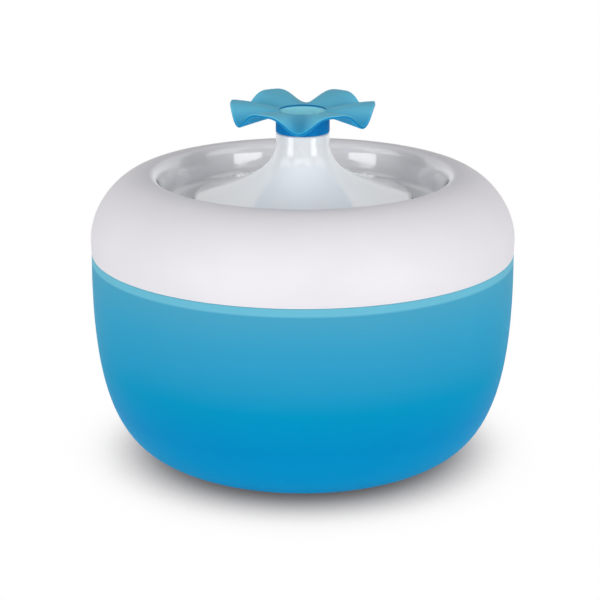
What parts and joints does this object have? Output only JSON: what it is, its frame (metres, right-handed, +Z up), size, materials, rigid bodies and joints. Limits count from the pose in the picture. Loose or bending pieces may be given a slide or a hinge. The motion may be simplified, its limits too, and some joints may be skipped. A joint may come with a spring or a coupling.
{
  "type": "pet water fountain",
  "caption": "Round pet water fountain: frosted bowl, arched top ring, glossy dome with a flower spout, filter tray and submersible pump.",
  "frame": {"origin": "centre of the footprint on the surface that the fountain stands on", "axes": "+Z up along the bowl's axis, -Y the front that the pump draws from, +Y the back where the lead leaves the rim"},
  "size_m": [0.2204, 0.2204, 0.1878],
  "materials": {
    "frosted_blue": "frosted translucent polypropylene",
    "clear_silicone": "soft",
    "satin_white": "satin outside, polished inside",
    "tray_white": "moulded",
    "cartridge_white": "moulded",
    "carbon": "granular",
    "cotton": "felted",
    "gloss_white": "polished",
    "aqua_plastic": "translucent",
    "seal_silicone": "soft",
    "petal_blue": "translucent",
    "pump_grey": "moulded",
    "dial_blue": "moulded",
    "core_steel": "stacked laminations",
    "bobbin_nylon": "moulded",
    "copper_wire": "enamelled",
    "epoxy": "cast",
    "black_rubber": "moulded",
    "cup_rubber": "soft",
    "shaft_steel": "ground",
    "bush_rubber": "soft",
    "ferrite": "ground",
    "impeller_white": "moulded",
    "sponge": "open foam",
    "riser_clear": "extruded"
  },
  "bodies": {
    "reservoir": {"reservoir_bowl": "frosted_blue", "silicone_feet": "clear_silicone", "lead_grommet": "clear_silicone"},
    "ring": {"top_ring": "satin_white"},
    "tray": {"filter_tray": "tray_white"},
    "filter": {"filter_frame": "cartridge_white", "carbon_bed": "carbon", "cotton_pad": "cotton"},
    "dome": {"dome": "gloss_white"},
    "nozzle": {"flow_nozzle": "aqua_plastic", "nozzle_o_ring": "seal_silicone"},
    "flower": {"flower_spout": "petal_blue"},
    "pump": {"pump_housing": "pump_grey", "stator_core": "core_steel", "winding_bobbin": "bobbin_nylon", "stator_winding": "copper_wire", "epoxy_potting": "epoxy", "lead_gland": "black_rubber", "suction_cups": "cup_rubber", "rotor_shaft": "shaft_steel", "rear_bush": "bush_rubber"},
    "rotor": {"rotor_magnet": "ferrite", "impeller": "impeller_white"},
    "volute_cover": {"volute_cover": "pump_grey", "front_bush": "bush_rubber"},
    "intake_cover": {"intake_cover": "pump_grey", "prefilter_sponge": "sponge"},
    "dial": {"flow_dial": "dial_blue"},
    "riser": {"riser_tube": "riser_clear", "riser_seal": "seal_silicone"}
  },
  "joints": [
    {"name": "ring_lift", "type": "slide", "parent": "reservoir", "child": "ring", "axis": [0, 0, 1], "range_m": [0, 0.08]},
    {"name": "tray_lift", "type": "slide", "parent": "ring", "child": "tray", "axis": [0, 0, 1], "range_m": [0, 0.045]},
    {"name": "filter_lift", "type": "slide", "parent": "tray", "child": "filter", "axis": [0, 0, 1], "range_m": [0, 0.03]},
    {"name": "dome_lift", "type": "slide", "parent": "filter", "child": "dome", "axis": [0, 0, 1], "range_m": [0, 0.04]},
    {"name": "nozzle_lift", "type": "slide", "parent": "dome", "child": "nozzle", "axis": [0, 0, 1], "range_m": [0, 0.02]},
    {"name": "flower_turn", "type": "hinge", "parent": "nozzle", "child": "flower", "pos_m": [0, 0, 0.178], "axis": [0, 0, 1], "continuous": true},
    {"name": "pump_lift", "type": "slide", "parent": "reservoir", "child": "pump", "axis": [0, 0, 1], "range_m": [0, 0.04]},
    {"name": "riser_pull", "type": "slide", "parent": "pump", "child": "riser", "axis": [0, 0, 1], "range_m": [0, 0.012]},
    {"name": "rotor_spin", "type": "hinge", "parent": "pump", "child": "rotor", "pos_m": [0, 0.01, 0.034], "axis": [0, 1, 0], "continuous": true},
    {"name": "volute_cover_slide", "type": "slide", "parent": "pump", "child": "volute_cover", "axis": [0, -1, 0], "range_m": [0, 0.012]},
    {"name": "intake_cover_slide", "type": "slide", "parent": "volute_cover", "child": "intake_cover", "axis": [0, -1, 0], "range_m": [0, 0.032]},
    {"name": "flow_dial_turn", "type": "hinge", "parent": "intake_cover", "child": "dial", "pos_m": [0, -0.024, 0.0404], "axis": [0, -1, 0], "range_deg": [0, 150]}
  ]
}
